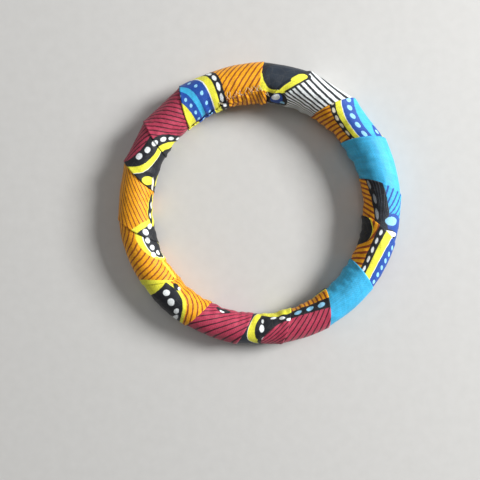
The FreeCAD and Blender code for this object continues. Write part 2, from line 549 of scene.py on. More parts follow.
@dataclass(frozen=True)
class Patch(Motif):
    """A disc of the print that has motifs of its own, which end at the disc's outline."""

    area: Disc
    motifs: tuple

    def masks(self, shop: PrintShop, tree: bpy.types.NodeTree, spot: object) -> Masks:
        """The disc's mask and ink, then its motifs' masks cut to the disc."""
        made = self.area.masks(shop, tree, spot)
        outline = made[0][0]
        for motif in self.motifs:
            for mask, ink in motif.masks(shop, tree, spot):
                cut = tree.nodes.new("ShaderNodeMath")
                cut.operation = "MULTIPLY"
                for source, target in zip((mask, outline), cut.inputs):
                    tree.links.new(source, target)
                made.append((cut.outputs[0], ink))
        return made


@dataclass(frozen=True)
class PrintedCotton:
    """Wax-print cotton: a ground ink, and motifs printed over it in order."""

    name: str
    ground: Ink
    motifs: tuple[Motif, ...] = ()
    seed: float = 0.0
    fade: float = 0.25
    crackle: float = 0.06

    def material(self, shop: PrintShop) -> bpy.types.Material:
        """Builds the material.

        Args:
            shop: the shared node groups.

        Returns:
            The finished material.
        """
        material = bpy.data.materials.new(self.name)
        material.use_nodes = True
        tree = material.node_tree
        shader = tree.nodes["Principled BSDF"]
        chart = tree.nodes.new("ShaderNodeUVMap")
        chart.uv_map = UV_CHART
        spot = shop.place(tree, "wobble", Position=chart.outputs[0], Seed=self.seed)
        layers = []
        for motif in self.motifs:
            layers += motif.masks(shop, tree, spot.outputs["Position"])
        colour = self.ground.value
        for mask, ink in layers:
            colour = mixed(tree, mask, colour, ink.value)
        cloth = shop.place(
            tree,
            "cloth",
            Position=chart.outputs[0],
            Print=colour,
            Fade=self.fade,
            Crackle=self.crackle,
            Seed=self.seed,
        )
        bump = tree.nodes.new("ShaderNodeBump")
        bump.inputs["Strength"].default_value = 0.5
        bump.inputs["Distance"].default_value = 0.06 * MM
        tree.links.new(cloth.outputs["Height"], bump.inputs["Height"])
        tree.links.new(cloth.outputs["Color"], shader.inputs["Base Color"])
        tree.links.new(cloth.outputs["Roughness"], shader.inputs["Roughness"])
        tree.links.new(bump.outputs["Normal"], shader.inputs["Normal"])
        shader.inputs["Specular IOR Level"].default_value = 0.4
        shader.inputs["Sheen Weight"].default_value = 0.12
        shader.inputs["Sheen Roughness"].default_value = 0.4
        return material


@dataclass(frozen=True)
class TwoTone:
    """A plain finish: two tones through noise, and its own roughness and relief."""

    name: str
    dark: Colour
    light: Colour
    scale: float
    roughness: float
    stretch: tuple[float, float, float] = (1, 1, 1)
    bump: float = 0.0
    bump_depth: float = 0.05 * MM

    def material(self) -> bpy.types.Material:
        """Builds the material, on Object coordinates."""
        material = bpy.data.materials.new(self.name)
        material.use_nodes = True
        tree = material.node_tree
        shader = tree.nodes["Principled BSDF"]
        place = tree.nodes.new("ShaderNodeTexCoord")
        stretch = tree.nodes.new("ShaderNodeMapping")
        stretch.inputs["Scale"].default_value = self.stretch
        grain = tree.nodes.new("ShaderNodeTexNoise")
        grain.inputs["Scale"].default_value = self.scale
        ramp = tree.nodes.new("ShaderNodeValToRGB")
        for element, tone in zip(ramp.color_ramp.elements, (self.dark, self.light)):
            element.color = tone
        tree.links.new(place.outputs["Object"], stretch.inputs["Vector"])
        tree.links.new(stretch.outputs["Vector"], grain.inputs["Vector"])
        tree.links.new(grain.outputs["Fac"], ramp.inputs["Fac"])
        tree.links.new(ramp.outputs["Color"], shader.inputs["Base Color"])
        shader.inputs["Roughness"].default_value = self.roughness
        if self.bump:
            relief = tree.nodes.new("ShaderNodeBump")
            relief.inputs["Strength"].default_value = self.bump
            relief.inputs["Distance"].default_value = self.bump_depth
            tree.links.new(grain.outputs["Fac"], relief.inputs["Height"])
            tree.links.new(relief.outputs["Normal"], shader.inputs["Normal"])
        return material


THREAD_FINISH = TwoTone("finish_thread", linear(206, 184, 140), linear(244, 234, 208), 2400, 0.8)
FLOOR_FINISH = TwoTone("pale_floor", (0.55, 0.545, 0.53, 1), (0.6, 0.595, 0.58, 1), 300, 0.75)
CORE_FINISHES = {
    "core_tube": TwoTone(
        "finish_core_tube", linear(206, 210, 204), linear(228, 230, 224), 220, 0.35, bump=0.1
    ),
    "joint_plug": TwoTone(
        "finish_joint_plug", linear(150, 108, 66), linear(206, 168, 118), 420, 0.6, (1, 6, 6), 0.4
    ),
    "joint_tape": TwoTone(
        "finish_joint_tape", linear(222, 206, 164), linear(238, 226, 190), 900, 0.7, (4, 1, 1), 0.5
    ),
}


def round_patch(ink: Ink, at: Place, radius: float, *motifs: Motif) -> Patch:
    """A round patch of the print with motifs of its own."""
    return Patch(Disc(ink, at, radius, radius), motifs)


T3_MIDDLE = (11.3, -17.4)
T5_MIDDLE = (-52.3, -289.6)
T6_MIDDLE = (9.5, -34.0)
T8_MIDDLE = (14.0, -45.0)
T11_MIDDLE = (12.0, -8.0)
T13_MIDDLE = (-16.4, 25.6)
T14_MIDDLE = (12.5, -11.5)
T15_MIDDLE = (-4.0, 14.5)
T16_MIDDLE = (-9.0, 8.0)
FLAP_MIDDLE = (-40.0, 8.0)

PRINTS: dict[int, PrintedCotton] = {
    1: PrintedCotton("print_black_pod", Ink.CHARCOAL, (
        Disc(Ink.YELLOW, (3.4, 1.8), 8.5, 3.2),
        Disc(Ink.BLACK, (6.5, -2.6), 6.6, 6.0),
        Disc(Ink.CHARCOAL, (6.9, -2.2), 5.9, 5.0),
        Disc(Ink.BLACK, (4.0, 6.1), 9.0, 1.8),
    # its fade of 0.9 is partly uneven ink and partly painted sheen: the lighter mottling stands for
    # the waxy highlights on the black pod
    ), seed=1.3, fade=0.9),
    2: PrintedCotton("print_white_lines", Ink.WHITE, (
        Arcs(Ink.BLACK, (19.4, -41.0), 43.5, 1.2, 0.44, 0.05),
        Disc(Ink.BLACK, (1.4, -1.7), 2.4, 2.6),
        Disc(Ink.BLACK, (2.0, 1.4), 4.0, 1.8, 99),
        Disc(Ink.CHARCOAL, (-2.9, 0.5), 4.0, 3.6),
        Disc(Ink.BLACK, (-1.6, -4.6), 3.0, 3.0),
        Disc(Ink.YELLOW, (1.4, -1.7), 1.6, 1.8),
        Disc(Ink.YELLOW, (1.9, 1.0), 3.6, 1.15, 99),
        Disc(Ink.YELLOW, (0.4, 3.7), 2.6, 0.5),
        Disc(Ink.BLACK, (2.6, 7.0), 3.8, 2.7, 30),
        Disc(Ink.BLUE, (2.2, 6.4), 2.6, 1.6, 40),
        Disc(Ink.WHITE, (1.5, 5.6), 1.5, 1.0, 35),
        Disc(Ink.PALE_BLUE, (4.6, 7.6), 0.8, 0.6),
    ), seed=2.1),
    3: PrintedCotton("print_blue_bands_wide", Ink.ORANGE, (
        Fan(Ink.BROWN, (6.3, -32.0), 2.5, 0.38),
        Rings(T3_MIDDLE, ((22.1, Ink.BLACK), (20.8, Ink.YELLOW), (19.55, Ink.WHITE),
            (19.4, Ink.BLUE), (16.2, Ink.CYAN))),
        DotRow(Ink.CREAM, T3_MIDDLE, 21.45, 89.3, 8.4, 4, 1.0, 0.38, -1),
        DotRow(Ink.PALE_BLUE, T3_MIDDLE, 17.7, 84.5, 10.8, 4, 1.05, 0.6, -1),
        Disc(Ink.BLUE, (12.6, -4.6), 3.6, 1.6, 22),
        Disc(Ink.PALE_BLUE, (12.1, -4.4), 0.8, 0.55, 30),
        Disc(Ink.YELLOW, (13.6, -6.9), 1.8, 1.2, 20),
    ), seed=3.7),
    4: PrintedCotton("print_plain_cyan", Ink.CYAN, seed=4.4, fade=0.35),
    5: PrintedCotton("print_cyan_streaks_and_painted_shade", Ink.ORANGE, (
        Stripes(Ink.BROWN, 0, 1.75, 0.4, 0.0176),
        Disc(Ink.BLACK, T5_MIDDLE, 300.0, 300.0),
        # painted shade: white dots on the black band, dimmed to grey where the inner wall is in
        # shadow
        Disc(Ink.WHITE_IN_PAINTED_SHADE, (1.8, 4.7), 1.5, 0.45, -8),
        Disc(Ink.WHITE_IN_PAINTED_SHADE, (6.2, 3.4), 1.5, 0.5, -10),
        Disc(Ink.WHITE_IN_PAINTED_SHADE, (10.8, 2.7), 1.6, 0.55, -12),
        # painted shade: this black patch with slate lines stands for the cyan and blue streaks where
        # they turn into shadow on the inner side
        round_patch(Ink.BLACK, T5_MIDDLE, 298.0, Fan(Ink.CYAN_LINE_IN_PAINTED_SHADE, (16.5, 1.0), 3.2, 0.2)),
        round_patch(Ink.CYAN, T5_MIDDLE, 294.9, Fan(Ink.BLUE, (17.5, 4.4), 4.6, 0.36)),
        Disc(Ink.BLUE, (10.3, -4.4), 3.8, 3.8, 10),
        Disc(Ink.PALE_BLUE, (9.7, -1.9), 2.5, 1.0, 48),
        Disc(Ink.BLACK, (12.9, -2.4), 3.0, 1.0, 60),
        Disc(Ink.WHITE, (12.7, -2.6), 2.9, 0.6, 60),
    ), seed=5.2),
    6: PrintedCotton("print_blue_bands", Ink.ORANGE, (
        Arcs(Ink.BROWN, (0.0, 12.0), 11.2, 1.55, 0.42),
        Disc(Ink.YELLOW, (3.6, 9.3), 6.0, 6.3),
        Disc(Ink.BLACK, (4.0, 9.3), 5.9, 6.1),
        Rings(T6_MIDDLE, ((36.6, Ink.BLACK), (34.55, Ink.YELLOW), (32.45, Ink.WHITE),
            (32.3, Ink.BLUE))),
        DotRow(Ink.WHITE, T6_MIDDLE, 35.55, 82.5, 5.0, 4, 0.95, 0.38),
        DotRow(Ink.PALE_BLUE, T6_MIDDLE, 30.1, 82.0, 4.5, 5, 0.6, 0.75, -1),
        DotRow(Ink.PALE_BLUE, T6_MIDDLE, 26.6, 84.0, 5.1, 4, 0.6, 0.75, -1),
    ), seed=6.9),
    7: PrintedCotton("print_plain_cyan_low", Ink.CYAN, seed=7.7, fade=0.35),
    8: PrintedCotton("print_crimson_navy", Ink.BLACK, (
        Disc(Ink.YELLOW, T8_MIDDLE, 53.6, 53.6),
        round_patch(Ink.ORANGE, T8_MIDDLE, 53.1, Stripes(Ink.BROWN, 0, 1.55, 0.38, -0.015)),
        Disc(Ink.BLACK, T8_MIDDLE, 50.3, 50.3),
        DotRow(Ink.PALE_BLUE, T8_MIDDLE, 48.95, 88.0, 4.95, 3, 1.3, 0.65),
        round_patch(Ink.CRIMSON, T8_MIDDLE, 47.75, Stripes(Ink.MAROON, 0, 2.15, 0.27, 0.055,
            (0.0, -6.5))),
    ), seed=8.1),
    9: PrintedCotton("print_yellow_bend", Ink.CHARCOAL, (
        Rings((4.5, 2.6), ((8.4, Ink.WHITE), (8.3, Ink.YELLOW), (6.4, Ink.BLACK))),
        Disc(Ink.BLACK, (0.5, -2.0), 7.6, 6.2),
        Disc(Ink.YELLOW, (3.4, 6.5), 6.9, 2.1),
        Disc(Ink.WHITE, (0.5, 2.5), 0.9, 0.45, 15),
        Disc(Ink.WHITE, (2.9, 3.4), 1.0, 0.45, 15),
        Disc(Ink.WHITE, (5.9, 4.0), 0.9, 0.4),
        Disc(Ink.WHITE, (9.2, 3.3), 0.8, 0.4, 60),
        Disc(Ink.WHITE, (8.6, 1.0), 1.3, 0.65, 60),
        Disc(Ink.WHITE, (6.3, -2.8), 1.2, 0.55, 65),
        Patch(
            Disc(Ink.CRIMSON, (1.0, -3.0), 5.9, 5.1, 15),
            (Stripes(Ink.MAROON, 45, 1.25, 0.3, 0.02),),
        ),
    ), seed=9.4),
    10: PrintedCotton("print_crimson_fan", Ink.CRIMSON, (
        Stripes(Ink.MAROON, 0, 2.7, 0.24, 0.1, (0.0, -5.0)),
        Disc(Ink.BLACK, (10.0, 5.4), 2.6, 1.2),
        Disc(Ink.WHITE, (10.2, 4.7), 0.9, 0.4, 10),
    ), seed=10.2),
    11: PrintedCotton("print_yellow_field", Ink.ORANGE, (
        Arcs(Ink.BROWN, T11_MIDDLE, 12.3, 1.25, 0.32),
        Rings(T11_MIDDLE, ((11.2, Ink.YELLOW), (10.4, Ink.BLACK))),
        Disc(Ink.YELLOW, (24.0, -7.0), 12.2, 12.2),
        Disc(Ink.WHITE, (3.4, -5.6), 2.4, 0.6, 80),
        Disc(Ink.WHITE, (5.0, -2.4), 1.1, 0.6, 60),
        Disc(Ink.WHITE, (8.3, -1.2), 1.35, 0.85, 40),
        Disc(Ink.WHITE, (11.7, -0.2), 1.2, 0.8, 40),
        Disc(Ink.BLACK, (12.6, 3.2), 1.7, 0.7, 20),
        Disc(Ink.WHITE, (11.6, 3.4), 0.7, 0.35, 30),
    ), seed=11.6),
    12: PrintedCotton("print_orange_diagonal", Ink.ORANGE, (
        Arcs(Ink.BROWN, (19.4, -13.0), 20.3, 1.15, 0.28),
        Disc(Ink.YELLOW, (-10.0, -3.0), 11.7, 14.0),
        Disc(Ink.YELLOW, (15.0, 4.6), 5.8, 4.8, -12),
        Disc(Ink.WHITE, (15.1, 4.9), 5.15, 3.2, -8),
        Disc(Ink.BLACK, (15.2, 5.0), 5.0, 3.0, -5),
        Disc(Ink.YELLOW, (5.5, 5.4), 5.0, 0.6),
        Spots(Ink.WHITE, ((11.2, 3.2), (14.2, 3.8), (12.5, 5.2), (16.5, 3.1)), 1.2, 0.6, 25),
    ), seed=12.8),
    13: PrintedCotton("print_orange_lengthwise", Ink.ORANGE, (
        Stripes(Ink.BROWN, 74, 1.5, 0.27, 0.024, (2.0, 0.0)),
        Rings(T13_MIDDLE, ((31.2, Ink.YELLOW), (30.0, Ink.BLACK))),
        Disc(Ink.YELLOW, (10.6, 7.0), 5.4, 2.0, 4),
        Disc(Ink.BLACK, (10.9, 6.4), 5.2, 1.1, 6),
        Disc(Ink.WHITE, (12.2, 6.9), 1.2, 0.4, 6),
        Disc(Ink.WHITE, (8.7, 6.3), 0.9, 0.35, 6),
        Disc(Ink.WHITE, (2.0, 3.1), 1.2, 0.75, 30),
        Disc(Ink.WHITE, (4.8, 5.1), 1.3, 0.6, 40),
        Disc(Ink.WHITE, (-0.6, 3.1), 0.9, 0.7, 20),
    ), seed=13.3),
    14: PrintedCotton("print_yellow_wave", Ink.BLACK, (
        Disc(Ink.YELLOW, (1.9, 4.1), 2.4, 1.15, 50),
        Disc(Ink.CREAM, (1.6, 6.2), 2.4, 0.5, -12),
        Disc(Ink.YELLOW, (4.2, 8.6), 2.6, 0.7, 20),
        Rings(T14_MIDDLE, ((16.5, Ink.WHITE), (16.4, Ink.YELLOW), (14.9, Ink.BLACK))),
        Disc(Ink.WHITE, (5.5, -0.7), 1.4, 0.7, 35),
        Disc(Ink.WHITE, (9.2, 0.9), 1.2, 0.7, 30),
        Disc(Ink.WHITE, (12.6, 1.8), 1.3, 0.7, 20),
        round_patch(Ink.CRIMSON, (12.0, -17.0), 16.6, Stripes(Ink.MAROON, 115, 1.1, 0.3)),
    ), seed=14.9),
    15: PrintedCotton("print_crimson_cross", Ink.CRIMSON, (
        Stripes(Ink.MAROON, 135, 1.05, 0.28, 0.004),
        Rings(T15_MIDDLE, ((14.4, Ink.BLACK), (12.0, Ink.YELLOW), (10.0, Ink.BLACK))),
        DotRow(Ink.WHITE, T15_MIDDLE, 13.2, -73.0, 15.3, 4, 1.2, 0.58, -1),
    ), seed=15.5),
    16: PrintedCotton("print_blue_arcs", Ink.ORANGE, (
        Stripes(Ink.BROWN, 42, 1.62, 0.3, 0.0127, (4.2, -4.2)),
        Rings(T16_MIDDLE, ((23.9, Ink.BLACK), (21.6, Ink.YELLOW), (19.7, Ink.WHITE),
            (19.4, Ink.BLUE), (16.1, Ink.CYAN), (14.6, Ink.BLUE), (12.1, Ink.YELLOW),
            (9.0, Ink.NAVY))),
        DotRow(Ink.WHITE, T16_MIDDLE, 22.7, -45.0, 8.8, 7, 1.35, 0.52),
        DotRow(Ink.PALE_BLUE, T16_MIDDLE, 17.7, -57.7, 11.0, 8, 0.6, 0.5),
        DotRow(Ink.PALE_BLUE, T16_MIDDLE, 13.35, -37.5, 11.2, 5, 0.55, 0.45, -1),
    ), seed=16.7),
    17: PrintedCotton("print_end_flap", Ink.ORANGE, (
        Stripes(Ink.BROWN, 34, 1.7, 0.38, 0.09, (20.0, 11.0)),
        Rings(FLAP_MIDDLE, ((55.8, Ink.BLACK), (53.2, Ink.YELLOW), (50.9, Ink.BLUE),
            (44.6, Ink.YELLOW), (40.3, Ink.NAVY))),
        Spots(Ink.PALE_BLUE, ((6.5, 9.0), (9.3, 8.0)), 0.7, 0.6),
        Spots(Ink.WHITE, ((14.6, 6.8), (14.8, 9.8)), 0.8, 0.6, 70),
    ), seed=17.1),
}


# ---------------------------------------------------------------------------------------------
# The winding: where the cloth runs, read from the frame
# ---------------------------------------------------------------------------------------------


def node_points(name: str) -> np.ndarray:
    """The vertices of a CAD node, in metres."""
    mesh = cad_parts[name].data
    points = np.empty(len(mesh.vertices) * 3, dtype=np.float32)
    mesh.vertices.foreach_get("co", points)
    return points.reshape(-1, 3).astype(float)


@dataclass
class Lap:
    """One lap edge, as angles about the ring in degrees.

    before and after are the outer angle that the edge comes from and the inner angle that it goes
    to on the underside.
    """

    outer: float
    inner: float
    before: float = 0.0
    after: float = 0.0

    def angle(self, section: np.ndarray) -> np.ndarray:
        """The edge's angle at places round the tube.

        Args:
            section: degrees round the tube, 0 outside, 90 on top, 180 inside, 270 below.

        Returns:
            Degrees about the ring.
        """
        inward = (1 - np.cos(np.radians(section))) / 2
        top = self.outer + (self.inner - self.outer) * inward
        coming = self.before + (self.inner - self.before) * inward
        going = self.outer + (self.after - self.outer) * inward
        return np.where(section > 180, coming, np.where(section < 0, going, top))


@dataclass
class Winding:
    """The ring and the lap edges of the cloth on it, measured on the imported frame."""

    equator_share: float = 0.985
    turn_advance: float = 21.0
    winding_start: float = 100.0
    flap_own_edge: float = -227.0
    flap_far_edge: float = -275.0
    far_edge_before: float = -255.0
    hose_radius: float = 3.5 * MM
    centre: np.ndarray = field(init=False)
    ring_radius: float = field(init=False)
    slope: np.ndarray = field(init=False)
    swell: np.ndarray = field(init=False)
    laps: list[Lap] = field(init=False)

    def __post_init__(self) -> None:
        """Measures the ring, then the turns."""
        low, high = (np.array(corner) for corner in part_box("core_tube"))
        self.centre = (low + high) / 2
        self.ring_radius = (high[0] - low[0]) / 2 - self.hose_radius
        hose = node_points("core_tube") - self.centre
        flat = np.column_stack([hose[:, 0], hose[:, 1], np.ones(len(hose))])
        self.slope = np.linalg.lstsq(flat, hose[:, 2], rcond=None)[0]
        self._measure_turns()

    def _measure_turns(self) -> None:
        """Finds each sleeve's lap edge and radius."""
        self.laps, rows, radii = [], [], []
        previous = self.winding_start
        for number in range(1, TURN_COUNT + 1):
            points = node_points(f"cloth_turn_{number:02d}") - self.centre
            rise = points[:, 2] - points[:, :2] @ self.slope[:2] - self.slope[2]
            beside = np.hypot(points[:, 0], points[:, 1]) - self.ring_radius
            tube = np.hypot(beside, rise)
            around = np.degrees(np.arctan2(points[:, 1], points[:, 0]))
            heart = math.degrees(math.atan2(points[:, 1].mean(), points[:, 0].mean()))
            while heart > previous:
                heart -= 360
            around = (around - heart + 180) % 360 - 180 + heart
            reach = tube.max() * self.equator_share
            self.laps.append(Lap(around[beside > reach].max(), around[beside < -reach].max()))
            rows.append([1, math.cos(math.radians(heart)), math.sin(math.radians(heart))])
            radii.append(tube.max())
            previous = heart
        self.swell = np.linalg.lstsq(np.array(rows), np.array(radii), rcond=None)[0]
        first = self.laps[0]
        self.laps.append(Lap(first.outer - 360, first.inner - 360))
        for number, lap in enumerate(self.laps):
            last = number == TURN_COUNT
            lap.before = self.laps[number - 1].outer if number else lap.outer + self.turn_advance
            lap.after = self.flap_far_edge if last else self.laps[number + 1].inner
        self.laps[-1].before = self.far_edge_before
        self.laps[-2].after = self.flap_own_edge

    def tube_radius(self, around: np.ndarray) -> np.ndarray:
        """The wound tube's radius at angles about the ring, in degrees."""
        angle = np.radians(around)
        return self.swell[0] + self.swell[1] * np.cos(angle) + self.swell[2] * np.sin(angle)

    def place(self, around: np.ndarray, section: np.ndarray, lift: np.ndarray) -> np.ndarray:
        """Points on the wound tube.

        Args:
            around: degrees about the ring.
            section: degrees round the tube.
            lift: how far the point stands off the mean tube, in metres.

        Returns:
            The points, in metres, along the last axis.
        """
        radius = self.tube_radius(around) + lift
        away = self.ring_radius + radius * np.cos(np.radians(section))
        x = away * np.cos(np.radians(around))
        y = away * np.sin(np.radians(around))
        lean = self.slope[0] * x + self.slope[1] * y + self.slope[2]
        z = lean + radius * np.sin(np.radians(section))
        return np.stack([x, y, z], axis=-1) + self.centre

    def chart(self, x: np.ndarray, around: np.ndarray, section: np.ndarray) -> np.ndarray:
        """Print positions in millimetres, from distances along the ring and angles on the tube."""
        radius = self.tube_radius(around) / MM
        return np.stack([x, radius * np.radians(section - 90)], axis=-1)


# ---------------------------------------------------------------------------------------------
# The cloth
# ---------------------------------------------------------------------------------------------


def smooth_step(low: float, high: float, value: np.ndarray) -> np.ndarray:
    """0 below low, 1 above high, and a smooth rise between; low may be above high."""
    share = np.clip((value - low) / (high - low), 0, 1)
    return share * share * (3 - 2 * share)


def mesh_object(name: str, grid: np.ndarray, chart: np.ndarray) -> bpy.types.Object:
    """Makes a sheet from a grid of points, with its chart as a UV map.

    Args:
        name: the new object's name.
        grid: points, rows by columns by 3.
        chart: print positions, rows by columns by 2.

    Returns:
        The new object.
    """
    rows, columns = grid.shape[:2]
    corner = np.arange(rows * columns).reshape(rows, columns)
    faces = np.stack([corner[:-1, :-1], corner[1:, :-1], corner[1:, 1:], corner[:-1, 1:]], axis=-1)
    faces = faces.reshape(-1, 4)
    mesh = bpy.data.meshes.new(name)
    mesh.from_pydata(grid.reshape(-1, 3).tolist(), [], faces.tolist())
    layer = mesh.uv_layers.new(name=UV_CHART)
    layer.data.foreach_set("uv", chart.reshape(-1, 2)[faces.reshape(-1)].astype(np.float32).ravel())
    mesh.polygons.foreach_set("use_smooth", [True] * len(mesh.polygons))
    made = bpy.data.objects.new(name, mesh)
    bpy.context.scene.collection.objects.link(made)
    return made


def mean_length(grid: np.ndarray, axis: int) -> float:
    """A grid's mean length along its rows' or columns' axis, in metres."""
    return float(np.linalg.norm(np.diff(grid, axis=axis), axis=2).sum(axis=axis).mean())


@dataclass
class Cotton:
    """How the cloth lies: its thickness, the steps between its layers and its unevenness."""

    winding: Winding
    width: float = 28 * MM
    thickness: float = 0.2 * MM
    layer_step: float = 0.24 * MM
    top_lift: float = 0.05 * MM
    chord_limit: float = 0.6 * MM
    chord_reach: float = 0.25
    tautness: tuple[float, ...] = (
        0.3, 1.0, 1.4, 0.1, 0.1, 0.1, 0.1, 0.1, 1.0, 0.2, -0.2, -0.1, 1.1, 1.4, 1.4, 1.1,
    )
    edge_roll: float = 0.1 * MM
    roll_width: float = 0.9
    pucker: float = 0.42 * MM
    dent: float = 0.13 * MM
    crease: float = 0.13 * MM
    crease_sharpness: float = 6.5

    def chord(self, number: int, share: np.ndarray, section: np.ndarray) -> np.ndarray:
        """How far tight cloth sinks between two lap edges on the ring's outer side.

        Args:
            number: the turn.
            share: how far across its visible width.
            section: degrees round the tube.

        Returns:
            The sinking, in metres, always negative or zero.
        """
        edge, following = self.winding.laps[number - 1 : number + 1]
        half = math.radians((edge.outer - following.outer) / 2)
        outside = self.winding.ring_radius + self.winding.swell[0]
        sag = min(outside * (1 - math.cos(half)), self.chord_limit) * self.tautness[number - 1]
        bow = 1 - (2 * share - 1) ** 2
        return -sag * bow * np.clip(np.cos(np.radians(section)) + self.chord_reach, 0, 1)

    def unevenness(self, around: np.ndarray, section: np.ndarray) -> np.ndarray:
        """Soft dents and creases all round, and puckers on the inner side where cloth is crowded."""
        broad_pace, fold_pace, fine_pace, cross_pace = 6.5, 19.0, 34.0, 9.0
        made = np.zeros(around.shape)
        inner = np.clip(0.15 - np.cos(np.radians(section)), 0, 1)
        for at in np.ndindex(around.shape):
            angle, turn = math.radians(around[at] % 360), math.radians(section[at])
            x, y = math.cos(angle), math.sin(angle)
            broad, fold, fine, cross = (
                noise.noise(Vector((x * pace, y * pace, height)))
                for pace, height in (
                    (broad_pace, turn * 1.1),
                    (fold_pace, math.cos(turn) * 1.6 + 7.0),
                    (fine_pace, turn * 3.0 + 3.0),
                    (cross_pace, turn * 1.2 + 11.0),
                )
            )
            ridge = max(0.0, 1 - self.crease_sharpness * abs(cross)) * max(0.0, broad + 0.25)
            made[at] = self.dent * broad + self.pucker * inner[at] * fold
            made[at] += 0.3 * self.dent * fine + self.crease * ridge
        return made

    def finish(self, piece: bpy.types.Object, material: bpy.types.Material) -> None:
        """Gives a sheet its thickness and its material."""
        piece.data.materials.append(material)
        solid = piece.modifiers.new("cloth_thickness", "SOLIDIFY")
        solid.thickness = self.thickness
        solid.offset = -1
        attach(piece, BODY)


@dataclass
class ClothTurn:
    """One turn of the strip, from the underside up the hand hole's wall, over the top and under."""

    number: int
    cotton: Cotton
    rows: int = 104
    columns_per_turn: int = 34
    start_section: float = 270.0
    end_section: float = -90.0
    usual_width: float = 14.0

    def shares(self) -> np.ndarray:
        """Column places across the strip, counted in visible turns from the lap edge."""
        own = self.visible_width(self.number)
        last = 1.0
        if self.number < TURN_COUNT:
            rest = self.cotton.width / MM - own
            last = 1 + min(rest / self.visible_width(self.number + 1), 1.0)
        first = -0.5 if self.number == 1 else 0.0
        count = int(self.columns_per_turn * (last - first) * max(1.0, own / self.usual_width)) + 1
        return np.linspace(first, last, count)

    def visible_width(self, number: int) -> float:
        """A turn's visible width on the tube's top line, in millimetres."""
        laps = self.cotton.winding.laps
        top = [float(laps[n].angle(np.array(90.0))) for n in (number - 1, number)]
        return math.radians(top[0] - top[1]) * self.cotton.winding.ring_radius / MM

    def lift(self, share: np.ndarray, section: np.ndarray) -> np.ndarray:
        """The layer's height over the mean tube: it dives from its lap edge under the next."""
        return self.cotton.top_lift - self.cotton.layer_step * share

    def angles(self, share: np.ndarray, section: np.ndarray) -> np.ndarray:
        """Degrees about the ring at shares across the strip."""
        laps = self.cotton.winding.laps
        own, following = laps[self.number - 1], laps[self.number]
        a, b = own.angle(section), following.angle(section)
        made = a + (b - a) * np.minimum(share, 1)
        if self.number < TURN_COUNT:
            third = laps[self.number + 1].angle(section)
            made = np.where(share > 1, b + (third - b) * (share - 1), made)
        return made

    def sag(self, share: np.ndarray, section: np.ndarray) -> np.ndarray:
        """The chord's sinking, shared by all the layers at a place."""
        made = self.cotton.chord(self.number, np.clip(share, 0, 1), section)
        if self.number == 1:
            beside = 1 + share * self.visible_width(1) / self.visible_width(TURN_COUNT)
            made = np.where(share < 0, self.cotton.chord(TURN_COUNT, beside, section), made)
        if self.number < TURN_COUNT:
            under = self.cotton.chord(self.number + 1, np.clip(share - 1, 0, 1), section)
            made = np.where(share > 1, under, made)
        return made

    def chart(self, share: np.ndarray, around: np.ndarray, section: np.ndarray) -> np.ndarray:
        """The print's position in millimetres at each grid point."""
        own = self.visible_width(self.number)
        x = share * own
        if self.number < TURN_COUNT:
            x = np.where(share > 1, own + (share - 1) * self.visible_width(self.number + 1), x)
        return self.cotton.winding.chart(x, around, section)

    def build(self, material: bpy.types.Material) -> bpy.types.Object:
        """Builds the turn's sheet.

        Args:
            material: its printed cotton.

        Returns:
            The sheet, riding on the frame and declared.
        """
        sections = np.linspace(self.start_section, self.end_section, self.rows)
        section, share = np.meshgrid(sections, self.shares(), indexing="ij")
        around = self.angles(share, section)
        lift = self.lift(share, section) + self.sag(share, section)
        if self.number > 1:
            beside = share * self.visible_width(self.number) / self.cotton.roll_width
            lift = lift + self.cotton.edge_roll * np.exp(-beside * beside)
        lift = lift + self.cotton.unevenness(around, section)
        grid = self.cotton.winding.place(around, section, lift)
        buried = np.where(share < 0, np.minimum(1, -4 * share), share)
        resting = self.cotton.thickness + self.cotton.layer_step * buried
        grid[..., 2] = np.maximum(grid[..., 2], resting)
        name = f"cloth_sheet_{self.number:02d}"
        piece = mesh_object(name, grid, self.chart(share, around, section))
        self.cotton.finish(piece, material)
        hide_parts(f"cloth_turn_{self.number:02d}")
        self.declare(piece, grid)
        return piece

    def declare(self, piece: bpy.types.Object, grid: np.ndarray) -> None:
        """States the flat size of the turn's stretch of strip."""
        flat = (round(mean_length(grid, 1), 4), round(mean_length(grid, 0), 4))
        log.info("%s: %.1f by %.1f mm of strip", piece.name, flat[0] / MM, flat[1] / MM)


@dataclass
class FirstTurn(ClothTurn):
    """The strip's start, which lies under the last turn."""

    under_last: float = -0.13 * MM

    def lift(self, share: np.ndarray, section: np.ndarray) -> np.ndarray:
        """Lower than the last turn's far edge, then under the second turn."""
        under_second = self.cotton.top_lift - self.cotton.layer_step
        falling = self.under_last + (under_second - self.under_last) * share
        beyond = self.cotton.top_lift - self.cotton.layer_step * share
        return np.where(share < 0, self.under_last, np.where(share < 1, falling, beyond))


@dataclass
class LastTurn(ClothTurn):
    """The strip's last full turn, which shows its whole width and ends in the glued flap."""

    end_section: float = -138.0
    rows: int = 118
    far_lift: float = 0.09 * MM
    dive_from: float = 150.0
    dive_to: float = 200.0

    def lift(self, share: np.ndarray, section: np.ndarray) -> np.ndarray:
        """Flat over its neighbours; on its way up the inner wall it dives under its own end."""
        winding = self.cotton.winding
        flat = self.cotton.top_lift + (self.far_lift - self.cotton.top_lift) * share
        own, far = winding.laps[-2], winding.laps[-1]
        end = Lap(own.outer, winding.flap_own_edge, own.outer, winding.flap_own_edge)
        a, b = own.angle(section), end.angle(section)
        around = a + (far.angle(section) - a) * share
        dive = np.clip((a - around) / np.maximum(a - b, 1.0), 0, 2)
        below = self.cotton.top_lift - self.cotton.layer_step * dive
        return flat + (below - flat) * smooth_step(self.dive_from, self.dive_to, section)


